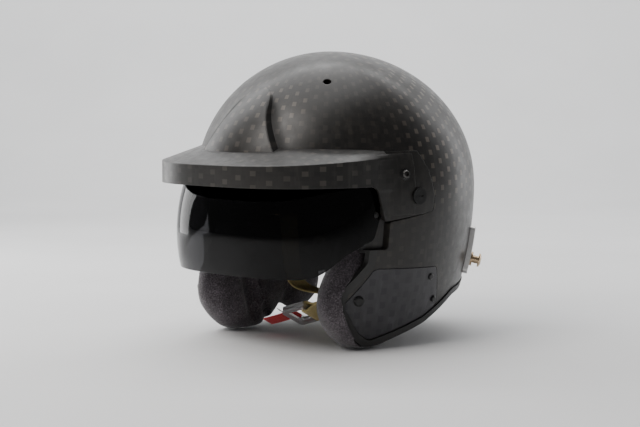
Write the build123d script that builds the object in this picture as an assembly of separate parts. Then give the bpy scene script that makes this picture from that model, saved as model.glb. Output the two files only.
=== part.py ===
"""Open-face racing helmet with a peak, a short tilting visor, cheek pads and a D-ring chin strap.

Millimetres. +Z is up, the face looks along -Y and +X is the wearer's left. The model is drawn about
the head's own axis, with the cheeks' lowest point near z = 0, and every piece is then moved so that
the whole stands centred on the origin with its lowest point at z = 0.
"""
import os
from functools import lru_cache
from math import cos, pi, radians, sin, sqrt

from build123d import *

# Form of the shell: four quarters that share one half width, swelling from the neck to the crown
HALF_WIDTH = 125.0
FRONT_REACH = 124.0
REAR_REACH = 145.0
CROWN_RISE = 122.5
WIDEST_HEIGHT = 138.0
SIDE_TUCK = 220.0
FRONT_TUCK = 300.0
REAR_TUCK = 205.0
FORM_FLOOR = -30.0
LOWER_SHARES = (0, 0.25, 0.5, 0.72, 0.88, 1)
CROWN_SHARES = (0.18, 0.36, 0.54, 0.69, 0.82, 0.93)

# Layers of the wall, counted inwards from the form
WALL = 3.0
FIT_GAP = 0.3
FOAM_THICK = 22.0
LINING_THICK = 7.5

# Edge of the shell as seen from the side
BROW_HEIGHT = 138.0
BROW_CORNER = 13.0
FACE_SET = 62.0
CHEEK_REACH = 17.0
CHEEK_TOP = 77.0
CHEEK_SHARES = ((0, 1, 0.9), (1, 0.66, 0.5), (1, 0.48, 0.6), (0.12, 0.18, 1), (-0.6, 0.06, 0.6))
HEM_RUN = 200.0
HEM_RISE = 60.0
HEM_SHARES = ((0.34, 0.38, 2.5), (0.55, 0.72, 2), (1.41, 1, 1))
SPAN = 220.0

# Rubber edge trim
TRIM_OUT = 3.0
TRIM_IN = 3.0
TRIM_LIP = 1.2
TRIM_FIT = 0.1

# Raised forehead section above the peak
HUMP_FRONT_LIFT = 9.0
HUMP_CROWN_DROP = 4.5
HUMP_HALF = 46.0
HUMP_FOOT = 166.0
HUMP_HEIGHT = 66.0
HUMP_SHARES = ((0.85, 0.19), (0.7, 0.36), (0.54, 0.55), (0.35, 0.8))
HUMP_FOOT_SHARE = 1.04
HUMP_TOP_SHARE = 0.93

# Crown vents
VENT_RADIUS = 3.6
VENT_SET = 61.0
VENT_HEIGHT = 231.7

# Peak, with its side wings let into the shell
PEAK_HALF = 114.0
PEAK_REACH = 145.0
PEAK_CENTRE = 10.0
PEAK_SQUARE = 3.0
PEAK_FOOT = 143.0
PEAK_BAND = 18.0
PEAK_TILT = 3.4
PEAK_WALL = 2.4
CREASE_HEIGHT = 176.0
WING_JOIN = 54.0
WING_TOP = 172.6
WING_HEIGHT = 52.2
WING_REAR = 19.0
WING_REAR_SHARES = ((1, 1), (0.45, 0.66), (0.14, 0.26), (0.25, 0))
WING_FOOT_DROP = 7.5
WING_FRONT_SET = 54.0
WING_CORNER = 9.0

# Recess in the shell under the wings, with a land beside the face opening
RECESS_DEPTH = 6.4
RECESS_WALL = 2.6
RECESS_GAP = 0.5
RECESS_FORE = 82.0
LAND_FOOT = 89.0
LAND_SET = 49.0

# Side covers, let in flush
COVER_DEPTH = 2.4
COVER_THICK = 2.1
COVER_WALL = 2.2
COVER_GAP = 0.4
COVER_SET = 77.5
COVER_FOOT = 5.0
COVER_RUN = 97.0
COVER_RISE = 71.0
COVER_SHARES = ((0.2, 0.95, 0.08), (0.88, 0.92, 0.08), (1.01, 0.42, 0.1), (0.86, 0.24, 0.1),
                (0.22, -0.07, 0.1), (0, 0.32, 0.1), (0, 0.48, 0.12))
COVER_SCREW_SHANK = 1.5
COVER_SCREW_LENGTH = 4.2
COVER_HEAD_FIT = 0.2
COVER_SCREW_SHARES = ((0.817, 0.8, 3.0, 1.2), (0.93, 0.5, 3.0, 1.2), (0.115, 0.56, 4.5, 1.8))

# Visor
VISOR_HALF = 110.0
VISOR_REACH = 132.0
VISOR_CENTRE = 10.0
VISOR_SQUARE = 2.8
VISOR_THICK = 2.0
VISOR_WIDEST = 97.0
VISOR_BULGE = 112.0
VISOR_TOP = 146.0
VISOR_FOOT = 66.0
VISOR_TAIL_SET = 53.0
ARM_THICK = 1.6
ARM_SWING_GAP = 1.1
EAR_RADIUS = 11.0
PIVOT_SET = 22.0
PIVOT_HEIGHT = 134.0
STUD_SET = 60.0
STUD_HEIGHT = 119.0
STUD_HEAD = 2.6
STUD_HEAD_HEIGHT = 1.2
STUD_SHANK = 1.1

# Visor pivots and peak screws
BUSH_RADIUS = 4.5
BUSH_FIT = 0.06
PIVOT_SHANK = 2.5
PIVOT_HEAD = 7.2
PIVOT_HEAD_HEIGHT = 1.8
SHANK_FIT = 0.1
PEAK_SCREW_SET = 35.6
PEAK_SCREW_HEIGHT = 153.0
PEAK_SCREW_SHANK = 2.0
PEAK_SCREW_HEAD = 3.4
PEAK_SCREW_HEAD_HEIGHT = 2.0
PEAK_CUP_RADIUS = 5.2
PEAK_CUP_HEIGHT = 1.0
SPACER_RADIUS = 3.8

# How finely the freely drawn sections are stepped
BOW_POINTS = 17
RING_POINTS = 12

# Foam and lining inside the shell
FOAM_FOOT = 108.0
FOAM_REAR_FOOT = 86.0
FOAM_SET = 50.0
FOAM_TURN = 25.0
FOAM_SLOPE = 45.0
FOAM_CORNER = 9.0
LINING_GROOVE = 3.0
LINING_GROOVE_STEP = 30.0

# Cheek pads
PAD_TOP = 105.0
PAD_SHARES = ((0, 0.5, 0.64, -1.7), (0.05, 0.72, 0.75, -0.7), (0.2, 0.95, 0.92, 0.3), (0.42, 1, 1, 1),
              (0.62, 0.9, 0.93, 1), (0.8, 0.78, 0.83, 1), (0.94, 0.62, 0.78, 1), (1, 0.45, 0.73, 1))
PAD_SEAM_SHARES = (0.7, 0.84, 0.88, 1)
PAD_HALF = 26.0
PAD_OUT = 76.0
PAD_FORE = 94.0
PAD_REAR = 16.0
PAD_GROOVE = 3.0
PAD_GROOVE_DEPTH = 2.5
PAD_VALLEY = 8.0
PAD_VALLEY_SET = 58.0
PAD_VALLEY_RUN = 14.0
PAD_STUD = 5.0
PAD_STUD_LENGTH = 6.0
PAD_STUD_SPOTS = ((-14.0, 88.0), (-40.0, 62.0), (-12.0, 46.0))

# Neck roll
ROLL_HALF = 13.0
ROLL_HEIGHT = 15.0
ROLL_SET = 17.5
ROLL_FRONT = 18.0
ROLL_FRONT_HEIGHT = 38.0
ROLL_REAR_HEIGHT = 66.0
ROLL_STATIONS = 11
ROLL_SQUARE = 2.4

# Head restraint posts at the rear corners
POST_SET = 84.0
POST_HEIGHT = 70.0
BASE_RISE = 30.0
BASE_DROP = 14.0
BASE_WIDTH = 20.0
BASE_TOP_WIDTH = 11.0
BASE_CORNER = 4.0
BASE_LIFT = 4.5
POST_FLANGE = 6.5
POST_NECK = 3.6
POST_HEAD = 6.3
POST_FLANGE_HEIGHT = 1.6
POST_NECK_LENGTH = 5.4
POST_HEAD_HEIGHT = 2.6
POST_SHANK = 3.0
POST_NUT = 7.0
POST_NUT_HEIGHT = 2.2

# Chin strap: the middle of each tape, station by station, as across, along and up
STRAP_WIDTH = 22.0
STRAP_THICK = 1.8
STRAP_TILT = 28.0
STRAP_LEFT = ((117.6, 12, 124), (117.4, 12, 111.5), (115.8, 12, 107.6), (111, 12, 106.5), (70, 4, 106.5),
              (62, 2, 105.6), (58.6, 0, 102), (54.5, -8, 88), (50.6, -19, 70), (47, -30, 50),
              (41, -38, 38), (32, -42, 31.6), (26, -43.2, 29.4))
STRAP_RIGHT = ((117.6, 12, 124), (117.4, 12, 111.5), (115.8, 12, 107.6), (111, 12, 106.5), (70, 6, 106.5),
               (62, 5, 105.6), (58.6, 4, 102), (54.6, 2, 88), (51.4, 0, 68), (47.5, 0, 50),
               (40, 0, 41), (27, 0, 37.6), (8, 0, 36.6), (-8, 0, 37.2))
ANCHOR_PLATE = 20.0
ANCHOR_PLATE_THICK = 1.6
ANCHOR_HEIGHT = 118.0
ANCHOR_POCKET = 14.0
RIVET_RADIUS = 3.4
RIVET_SHANK = 1.6
RIVET_HEAD = 1.4

# Rings and pull tab
RING_BAR = 1.6
RING_WIDTH = 31.0
RING_SIDE = 4.2
RING_WINDOW = 17.0
RING_FAR = 6.0
RING_THICK = 2.2
RING_CORNER = 4.0
RING_SAG = 20.0
RING_SPOT = (17.0, -44.0, 26.0)
RING_STACK = 3.8
LOOP_GAP = 0.35
TAB_LENGTH = 28.0
TAB_WIDTH = 13.0
TAB_THICK = 1.0
TAPE_LENGTH = 15.0
TAPE_THICK = 0.5


def half_sizes(drop, inset):
    """Half width, front reach and rear reach of the form below its widest level."""
    reaches = ((HALF_WIDTH, SIDE_TUCK), (FRONT_REACH, FRONT_TUCK), (REAR_REACH, REAR_TUCK))
    return tuple(reach * sqrt(1 - (drop / tuck) ** 2) - inset for reach, tuck in reaches)


def sizes_at(height, inset=0):
    """Half width, front reach and rear reach of the form at any height."""
    if height <= WIDEST_HEIGHT:
        return half_sizes(WIDEST_HEIGHT - height, inset)
    share = sqrt(1 - ((height - WIDEST_HEIGHT) / (CROWN_RISE - inset)) ** 2)
    return tuple((reach - inset) * share for reach in (HALF_WIDTH, FRONT_REACH, REAR_REACH))


def side_x(y, height, inset=0):
    """How far out the form lies at a place seen from the side."""
    half, front, rear = sizes_at(height, inset)
    reach = front if y < 0 else rear
    return half * sqrt(1 - (y / reach) ** 2)


def level_face(height, half, front, rear):
    """A level section of the form."""
    middle = (0, 0, height)
    fore = EllipticalCenterArc(middle, half, front, start_angle=180, arc_size=180)
    aft = EllipticalCenterArc(middle, half, rear, start_angle=0, arc_size=180)
    return make_face([fore, aft])


@lru_cache(maxsize=None)
def head_form(inset):
    """The form as a solid, moved inwards by inset."""
    levels = []
    for share in LOWER_SHARES:
        height = FORM_FLOOR + share * (WIDEST_HEIGHT - FORM_FLOOR)
        levels.append(level_face(height, *half_sizes(WIDEST_HEIGHT - height, inset)))
    rise = CROWN_RISE - inset
    for share in CROWN_SHARES:
        angle = share * pi / 2
        sizes = [(reach - inset) * cos(angle) for reach in (HALF_WIDTH, FRONT_REACH, REAR_REACH)]
        levels.append(level_face(WIDEST_HEIGHT + rise * sin(angle), *sizes))
    return loft(levels + [Vertex(0, 0, WIDEST_HEIGHT + rise)])


def layer(outer, inner):
    """The part of the wall between two insets."""
    return head_form(outer) - head_form(inner)


def side_solid(outline):
    """A side view outline carried through the whole width."""
    return extrude(Plane.YZ * outline, amount=SPAN, both=True)


def rounded(spots, radii):
    """A closed outline of straight runs joined by arcs."""
    return make_face(FilletPolyline(*spots, radius=list(radii), close=True).edges())


def shell_outline():
    """What is left of the shell, seen from the side: the face opening, the cheek and the hem."""
    cheek = [(-FACE_SET - ahead * CHEEK_REACH, up * CHEEK_TOP) for ahead, up, _ in CHEEK_SHARES]
    hem = [(-FACE_SET + back * HEM_RUN, up * HEM_RISE) for back, up, _ in HEM_SHARES]
    top = SPAN + HEM_RISE
    spots = [(-FACE_SET, BROW_HEIGHT), *cheek, *hem, (SPAN, top), (-SPAN, top), (-SPAN, BROW_HEIGHT)]
    bends = [share * CHEEK_REACH for _, _, share in CHEEK_SHARES + HEM_SHARES]
    return rounded(spots, [BROW_CORNER, *bends, BROW_CORNER, BROW_CORNER, BROW_CORNER])


def wing_rear(gap):
    """The rear edge of the wing from its top down to its foot, moved back by gap."""
    foot = WING_TOP - WING_HEIGHT
    return [(gap - WING_REAR * back, foot + up * WING_HEIGHT) for back, up in WING_REAR_SHARES]


def peak_outline():
    """The peak and its wing, seen from the side."""
    rear = wing_rear(0)
    front_foot = (-WING_FRONT_SET, rear[-1][1] - WING_FOOT_DROP)
    front_top = (-WING_FRONT_SET - WING_CORNER, PEAK_FOOT)
    spots = [*rear, front_foot, front_top, (-SPAN, PEAK_FOOT), (-SPAN, SPAN),
             (rear[0][0] - WING_REAR, SPAN), (rear[0][0] - WING_REAR, WING_TOP)]
    radii = [WING_CORNER / 4] + [WING_CORNER] * (len(rear) - 2)
    radii += [WING_CORNER / 3, WING_CORNER / 3, WING_CORNER] + [WING_CORNER / 4] * 4
    return rounded(spots, radii)


def recess_outline():
    """The recess that the wing lies in, with the land that the visor passes over."""
    rear = wing_rear(RECESS_GAP)
    foot = rear[-1][1] - WING_FOOT_DROP - RECESS_GAP
    top = WING_TOP + RECESS_GAP
    spots = [*rear, (-LAND_SET, foot), (-LAND_SET, LAND_FOOT), (-RECESS_FORE, LAND_FOOT),
             (-RECESS_FORE, WING_TOP - WING_HEIGHT / 3), (-WING_JOIN, top)]
    radii = [WING_CORNER / 4] + [WING_CORNER] * (len(rear) - 2)
    radii += [WING_CORNER / 3, WING_CORNER / 4, WING_CORNER / 3] + [WING_CORNER / 4] * 3
    return rounded(spots, radii)


def cover_outline():
    """The side cover, a rounded shape that follows the cheek's edge."""
    spots = [(-COVER_SET + back * COVER_RUN, COVER_FOOT + up * COVER_RISE)
             for back, up, _ in COVER_SHARES]
    return rounded(spots, [share * COVER_RISE for _, _, share in COVER_SHARES])


def sunk_form(inset, sinks):
    """The form with the places inside each side outline sunk to a greater depth."""
    body = head_form(inset)
    for outline, depth in sinks:
        body -= side_solid(outline) - head_form(depth)
    return body


def hump_solid(lift):
    """The raised forehead section: a tapering shield that fades into the crown."""
    half, front, _ = HALF_WIDTH, FRONT_REACH + HUMP_FRONT_LIFT + lift, REAR_REACH
    rise = CROWN_RISE - HUMP_CROWN_DROP + lift
    dome = scale(Sphere(1), by=(half + lift, front, rise)).moved(Location((0, 0, WIDEST_HEIGHT)))
    spots = [(HUMP_HALF * across, HUMP_FOOT + up * HUMP_HEIGHT) for across, up in HUMP_SHARES]
    foot = (HUMP_HALF * HUMP_FOOT_SHARE, HUMP_FOOT)
    top = (0, HUMP_FOOT + HUMP_TOP_SHARE * HUMP_HEIGHT)
    mirrored = [(-x, z) for x, z in reversed(spots)]
    edge = Spline([foot] + spots + [top] + mirrored + [(-foot[0], foot[1])])
    base = Line((-foot[0], foot[1]), foot)
    front_plane = Plane(origin=(0, -SPAN, 0), x_dir=(1, 0, 0), z_dir=(0, -1, 0))
    shield = extrude(front_plane * make_face([*edge.edges(), *base.edges()]), amount=-SPAN)
    return shield & dome


def bow(half, reach, centre, square, height):
    """A level face bounded by a blunt bow round the front and a straight line behind."""
    spots = []
    for i in range(BOW_POINTS):
        angle = pi * i / (BOW_POINTS - 1)
        across = half * abs(cos(angle)) ** (2 / square)
        ahead = reach * sin(angle) ** (2 / square)
        spots.append((across if angle < pi / 2 else -across, -centre - ahead, height))
    front = Spline(spots, tangents=((0, -1, 0), (0, 1, 0)))
    back = Line(spots[-1], spots[0])
    return make_face([*front.edges(), *back.edges()])


def peak_form(inset):
    """The peak's hood: a blunt band with a tilted brim that slopes up to the shell."""
    foot = WING_TOP - WING_HEIGHT - WING_FOOT_DROP - PEAK_WALL
    plan = bow(PEAK_HALF - inset, PEAK_REACH - inset, PEAK_CENTRE, PEAK_SQUARE, foot - inset)
    brim = Plane(origin=(0, -PEAK_CENTRE - PEAK_REACH, PEAK_FOOT + PEAK_BAND - inset),
                 x_dir=(1, 0, 0), z_dir=(0, -sin(radians(PEAK_TILT)), cos(radians(PEAK_TILT))))
    band = split(extrude(plan, amount=SPAN / 2), bisect_by=brim, keep=Keep.BOTTOM)
    top = band.faces().sort_by(Axis.Z)[-1]
    height = CREASE_HEIGHT - inset
    half, front, _ = sizes_at(height, WALL)
    crease = make_face([EllipticalCenterArc((0, 0, height), half, front, start_angle=180, arc_size=180),
                        Line((half, 0, height), (-half, 0, height))])
    return band + loft([top, crease])


def slab(low, high):
    """A block between two corners."""
    size = [b - a for a, b in zip(low, high)]
    return Pos(*low) * Box(*size, align=(Align.MIN, Align.MIN, Align.MIN))


def visor_form(inset):
    """The visor's outer surface, blunt in plan and bulging from top to bottom."""
    levels = []
    for share in (-0.4, -0.2, 0, 0.2, 0.4, 0.5):
        reach = VISOR_REACH * sqrt(1 - share ** 2)
        height = VISOR_WIDEST + share * VISOR_BULGE
        levels.append(bow(VISOR_HALF - inset, reach - inset, VISOR_CENTRE, VISOR_SQUARE, height))
    return loft(levels)


def visor_outline():
    """The lens seen from the side, long in front and swept up to the temples."""
    spots = [(-SPAN, VISOR_FOOT), (-VISOR_CENTRE - VISOR_REACH * 0.78, VISOR_FOOT),
             (-FACE_SET - CHEEK_REACH - WING_CORNER, LAND_FOOT - VISOR_THICK),
             (-FACE_SET, LAND_FOOT + WING_CORNER),
             (-VISOR_TAIL_SET, PIVOT_HEIGHT - EAR_RADIUS), (-VISOR_TAIL_SET, VISOR_TOP),
             (-SPAN, VISOR_TOP)]
    corner = WING_CORNER
    return rounded(spots, [corner, corner * 3, corner * 2, corner, corner / 3, corner / 3, corner])


def arm_outline():
    """The flat arm from the lens back to the pivot ear."""
    tip = -FACE_SET + PEAK_WALL
    ear = Pos(-PIVOT_SET, PIVOT_HEIGHT) * Circle(EAR_RADIUS)
    upper, lower = PIVOT_HEIGHT + EAR_RADIUS, PIVOT_HEIGHT - EAR_RADIUS
    plate = make_face(Polyline((tip, upper - PEAK_WALL), (tip, lower - PEAK_WALL), (-PIVOT_SET, lower),
                               (-PIVOT_SET, upper), close=True).edges())
    return ear + plate


def across(radius, y, height, low_x, high_x):
    """A cylinder along X between two distances from the middle, on the wearer's left."""
    return Pos(low_x, y, height) * extrude(Plane.YZ * Circle(radius), amount=high_x - low_x)


def both(piece):
    """A piece with its mirror image on the wearer's right."""
    return Compound(children=[*piece.solids(), *mirror(piece, about=Plane.YZ).solids()])


def between(piece, outer, inner):
    """The part of a piece that lies between two insets of the form."""
    return (piece & head_form(outer)) - head_form(inner)


def surface_plane(y, height, inset=0):
    """A plane on the form at a place seen from the side, facing straight out."""
    half, front, rear = sizes_at(height, inset)
    reach = front if y < 0 else rear
    x = side_x(y, height, inset)
    rise = (side_x(y, height + WALL, inset) - side_x(y, height - WALL, inset)) / (2 * WALL)
    out = Vector(x / half ** 2, y / reach ** 2, -rise * x / half ** 2)
    return Plane(origin=(x, y, height), x_dir=Vector(-out.Y, out.X, 0).normalized(), z_dir=out)


def drill(plane, radius, depth, lead):
    """A round hole's tool, going in by depth and standing out by lead."""
    tool = Cylinder(radius, depth + lead, align=(Align.CENTER, Align.CENTER, Align.MIN))
    return plane * Pos(0, 0, -depth) * tool


def turned(spots):
    """A solid of revolution from a half outline of radius and height."""
    profile = make_face(Polyline(*spots, close=True).edges())
    return revolve(Plane.XZ * profile, axis=Axis.Z)


def button(head, head_height, shank, length, base):
    """A low domed screw: its head above the base level, its shank below."""
    return turned([(0, -length), (shank, -length), (shank, base), (head, base),
                   (head, base + head_height * 0.5), (head * 0.7, base + head_height),
                   (0, base + head_height)])


def socket(size, depth, level):
    """The hexagonal socket's tool, sunk from a level."""
    return Pos(0, 0, level - depth) * extrude(RegularPolygon(size, 6), amount=2 * depth)


def soft_ring(plane, half, tall):
    """A blunt closed ring for a soft body's section."""
    spots = []
    for i in range(RING_POINTS):
        angle = 2 * pi * i / RING_POINTS
        shares = []
        for part in (cos(angle), sin(angle)):
            share = abs(part) ** (2 / ROLL_SQUARE)
            shares.append(share if part >= 0 else -share)
        spots.append((half * shares[0], tall * shares[1]))
    return plane * make_face(Spline(*spots, periodic=True).edges())


def pad_ring(level, swell, ahead, behind, drawn_in):
    """A level section of the cheek pad, drawn in all round by a length."""
    length = (PAD_FORE * ahead + PAD_REAR * behind) / 2
    plane = Plane(origin=(PAD_OUT, PAD_REAR * behind - length, level * PAD_TOP))
    return soft_ring(plane, PAD_HALF * swell - drawn_in, length - drawn_in)


def cheek_pad():
    """The left cheek pad: a crowned cushion whose belly bulges out in front."""
    return loft([pad_ring(*shares, 0) for shares in PAD_SHARES])


def neck_roll():
    """The roll round the nape, from one cheek pad to the other."""
    rings = []
    for i in range(ROLL_STATIONS):
        angle = pi * i / (ROLL_STATIONS - 1)
        share = sin(angle)
        height = ROLL_FRONT_HEIGHT + (ROLL_REAR_HEIGHT - ROLL_FRONT_HEIGHT) * sqrt(share)
        half, _, rear = sizes_at(height, ROLL_SET)
        spot = (half * cos(angle), ROLL_FRONT + (rear - ROLL_FRONT) * share, height)
        run = Vector(-half * sin(angle), (rear - ROLL_FRONT) * cos(angle), 0).normalized()
        swell = 0.6 + 0.4 * min(1, 3 * share)
        plane = Plane(origin=spot, x_dir=(run.Y, -run.X, 0), z_dir=run)
        rings.append(soft_ring(plane, ROLL_HALF * swell, ROLL_HEIGHT * swell))
    return loft(rings)


def tape(stations, tilts):
    """A strap through its stations, with its width tilted down towards the back by each tilt."""
    sections = []
    for i, (spot, tilt) in enumerate(zip(stations, tilts)):
        before = Vector(*stations[max(0, i - 1)])
        after = Vector(*stations[min(len(stations) - 1, i + 1)])
        run = (after - before).normalized()
        width = Vector(0, cos(radians(tilt)), -sin(radians(tilt)))
        width = (width - run * width.dot(run)).normalized()
        plane = Plane(origin=spot, x_dir=width, z_dir=run)
        sections.append(plane * Rectangle(STRAP_WIDTH, STRAP_THICK))
    return loft(sections, ruled=True)


def ring_plane(stack):
    """The plane across a ring's bar: x runs down the ring, y up through the stack, z along the bar."""
    tilt, sag = radians(STRAP_TILT), radians(RING_SAG)
    down = Vector(-cos(sag), -sin(sag) * sin(tilt), -sin(sag) * cos(tilt))
    along = Vector(0, cos(tilt), -sin(tilt))
    up = along.cross(down)
    return Plane(origin=Vector(*RING_SPOT) + up * stack, x_dir=down, z_dir=along)


def ring(stack):
    """One flat ring whose bar is round, with its bar on the given place in the stack."""
    far, half = RING_WINDOW + RING_FAR, RING_WIDTH / 2
    edge_radii = [RING_BAR / 2, RING_CORNER, RING_CORNER, RING_BAR / 2]
    plate = rounded([(-RING_BAR, -half), (far, -half), (far, half), (-RING_BAR, half)], edge_radii)
    inside = half - RING_SIDE
    plate -= rounded([(-far, -inside), (RING_WINDOW, -inside), (RING_WINDOW, inside), (-far, inside)],
                     [RING_BAR] * 4)
    frame = extrude(Plane.XZ * plate, amount=RING_THICK / 2, both=True)
    return ring_plane(stack) * (frame + Cylinder(RING_BAR, RING_WIDTH - RING_SIDE))


def strap_eye():
    """The end of the strap, sewn round the two bars."""
    inside = RING_BAR + LOOP_GAP
    outer = SlotCenterToCenter(RING_STACK, 2 * (inside + STRAP_THICK), rotation=90)
    eye = extrude(outer, amount=STRAP_WIDTH / 2, both=True)
    window = SlotCenterToCenter(RING_STACK, 2 * inside, rotation=90)
    return eye - extrude(window, amount=STRAP_WIDTH, both=True)


# Tools for the holes, all on the wearer's left
wing_floor = RECESS_DEPTH + RECESS_WALL * 0.8
peak_spot = surface_plane(-PEAK_SCREW_SET, PEAK_SCREW_HEIGHT)
peak_drill = drill(peak_spot, PEAK_SCREW_SHANK + SHANK_FIT, 2 * wing_floor, WALL)
pivot_reach = (side_x(-PIVOT_SET, PIVOT_HEIGHT, wing_floor), side_x(-PIVOT_SET, PIVOT_HEIGHT) + WALL)
pivot_drill = across(PIVOT_SHANK + SHANK_FIT, -PIVOT_SET, PIVOT_HEIGHT, pivot_reach[0] - WALL, pivot_reach[1])
cover_spots = [(surface_plane(-COVER_SET + back * COVER_RUN, COVER_FOOT + up * COVER_RISE), head, rise)
               for back, up, head, rise in COVER_SCREW_SHARES]
cover_drills = [drill(spot, COVER_SCREW_SHANK + SHANK_FIT, 2 * COVER_SCREW_LENGTH, WALL)
                for spot, _, _ in cover_spots]
post_spot = surface_plane(POST_SET, POST_HEIGHT)
post_drill = drill(post_spot, POST_SHANK + SHANK_FIT, 3 * WALL, 3 * WALL)
root_spot = surface_plane(STRAP_LEFT[0][1], ANCHOR_HEIGHT, WALL)
rivet_drill = drill(root_spot, RIVET_SHANK + SHANK_FIT, 2 * WALL, WALL * 0.6)
vent_spot = surface_plane(-VENT_SET, VENT_HEIGHT)
vent_drill = drill(vent_spot, VENT_RADIUS, 2 * (FOAM_THICK + LINING_THICK), FOAM_THICK)

# Outer shell
recess = recess_outline()
sunk = RECESS_DEPTH + RECESS_WALL
edge = shell_outline()
cover_side = cover_outline() & offset(edge, amount=-TRIM_IN - 2 * COVER_GAP)
cover_hole = offset(cover_side, amount=COVER_GAP)
outer = sunk_form(0, [(recess, RECESS_DEPTH), (cover_hole, COVER_DEPTH)])
inner = sunk_form(WALL, [(offset(recess, amount=RECESS_WALL), sunk),
                         (offset(cover_hole, amount=COVER_WALL), COVER_DEPTH + COVER_WALL)])
shell = ((outer + hump_solid(0)) - inner) & side_solid(edge)
holes = [peak_drill, pivot_drill, *cover_drills, post_drill, rivet_drill, vent_drill]
shell = shell - [side for tool in holes for side in (tool, mirror(tool, about=Plane.YZ))]

# Peak with its wings
peak_side = side_solid(peak_outline())
hood = (peak_form(0) - peak_form(PEAK_WALL)) & peak_side
hood = hood & slab((-SPAN, -SPAN, 0), (SPAN, -WING_JOIN + PEAK_WALL, SPAN))
hood = hood - sunk_form(-FIT_GAP, [(recess, RECESS_DEPTH)]) - hump_solid(FIT_GAP)
hood = hood.solids().sort_by(SortBy.VOLUME)[-1]
wing_span = slab((-SPAN, -WING_JOIN - PEAK_WALL, 0), (SPAN, 0, WING_TOP))
peak = hood + between(peak_side & wing_span, 0, PEAK_WALL)
peak = peak - both(peak_drill) - both(pivot_drill)

# Visor with its arms
arm_depth = PEAK_WALL + ARM_SWING_GAP
pane = (visor_form(0) - visor_form(VISOR_THICK)) & side_solid(visor_outline())
pane = pane - head_form(arm_depth + ARM_THICK)
arms = between(side_solid(arm_outline()), arm_depth, arm_depth + ARM_THICK)
stud_share = (STUD_HEIGHT - VISOR_WIDEST) / VISOR_BULGE
stud_reach = VISOR_REACH * sqrt(1 - stud_share ** 2)
stud_ahead = (STUD_SET - VISOR_CENTRE) / stud_reach
stud_across = (1 - stud_ahead ** VISOR_SQUARE) ** (1 / VISOR_SQUARE)
stud_out = Vector(stud_across ** (VISOR_SQUARE - 1) / VISOR_HALF,
                  -stud_ahead ** (VISOR_SQUARE - 1) / stud_reach, 0)
stud_spot = Plane(origin=(VISOR_HALF * stud_across, -STUD_SET, STUD_HEIGHT), x_dir=(0, 0, 1), z_dir=stud_out)
stud = stud_spot * button(STUD_HEAD, STUD_HEAD_HEIGHT, STUD_SHANK, VISOR_THICK, BUSH_FIT)
stud_drill = drill(stud_spot, STUD_SHANK + SHANK_FIT, 2 * VISOR_THICK, VISOR_THICK)
ear_drill = across(BUSH_RADIUS + BUSH_FIT, -PIVOT_SET, PIVOT_HEIGHT, HALF_WIDTH / 2, SPAN)
visor = pane + arms - both(ear_drill) - both(stud_drill)
bush = between(across(BUSH_RADIUS, -PIVOT_SET, PIVOT_HEIGHT, HALF_WIDTH / 2, SPAN), PEAK_WALL, RECESS_DEPTH)
bush = bush - pivot_drill
pivot_spot = surface_plane(-PIVOT_SET, PIVOT_HEIGHT)
pivot_disc = drill(pivot_spot, PIVOT_HEAD, WALL / 2, PIVOT_HEAD_HEIGHT) - head_form(0)
pivot_slit = pivot_spot * Pos(0, 0, PIVOT_HEAD_HEIGHT) * Box(PIVOT_HEAD, PIVOT_SHANK / 2, PIVOT_HEAD_HEIGHT)
pivot_shank = across(PIVOT_SHANK, -PIVOT_SET, PIVOT_HEIGHT, pivot_reach[0], pivot_reach[1] - 0.6 * WALL)
pivot_screw = (pivot_shank & head_form(-PIVOT_HEAD_HEIGHT / 2)) + (pivot_disc - pivot_slit)

# Screws, cups and spacers of the peak
cup = peak_spot * turned([(PEAK_SCREW_SHANK + SHANK_FIT, 0), (PEAK_CUP_RADIUS, 0),
                          (PEAK_CUP_RADIUS, PEAK_CUP_HEIGHT / 2), (PEAK_SCREW_HEAD, PEAK_CUP_HEIGHT),
                          (PEAK_SCREW_SHANK + SHANK_FIT, PEAK_CUP_HEIGHT)])
screw_top = PEAK_CUP_HEIGHT + PEAK_SCREW_HEAD_HEIGHT
peak_screw = button(PEAK_SCREW_HEAD, PEAK_SCREW_HEAD_HEIGHT, PEAK_SCREW_SHANK, wing_floor, PEAK_CUP_HEIGHT)
peak_screw = peak_spot * (peak_screw - socket(PEAK_SCREW_SHANK, PEAK_SCREW_HEAD_HEIGHT * 0.7, screw_top))
spacer = between(drill(peak_spot, SPACER_RADIUS, 2 * wing_floor, 0), PEAK_WALL, RECESS_DEPTH) - peak_drill

# Side covers and their screws
covers = between(side_solid(cover_side), 0, COVER_THICK)
covers = covers - [side for tool in cover_drills for side in (tool, mirror(tool, about=Plane.YZ))]
cover_screws = [spot * button(head, rise, COVER_SCREW_SHANK, COVER_SCREW_LENGTH, COVER_HEAD_FIT)
                for spot, head, rise in cover_spots]

# Rubber trim: a bead round the shell's edge with a lip outside, which follows the step into the recess
grown = offset(edge, amount=TRIM_FIT)
zone = offset(edge, amount=TRIM_OUT) - offset(edge, amount=-TRIM_IN)
trim = side_solid(zone) & head_form(-TRIM_LIP)
trim = trim - (side_solid(recess) - head_form(RECESS_DEPTH))
trim = trim - (side_solid(zone & grown) & head_form(-TRIM_FIT))
trim = trim - inner

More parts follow.
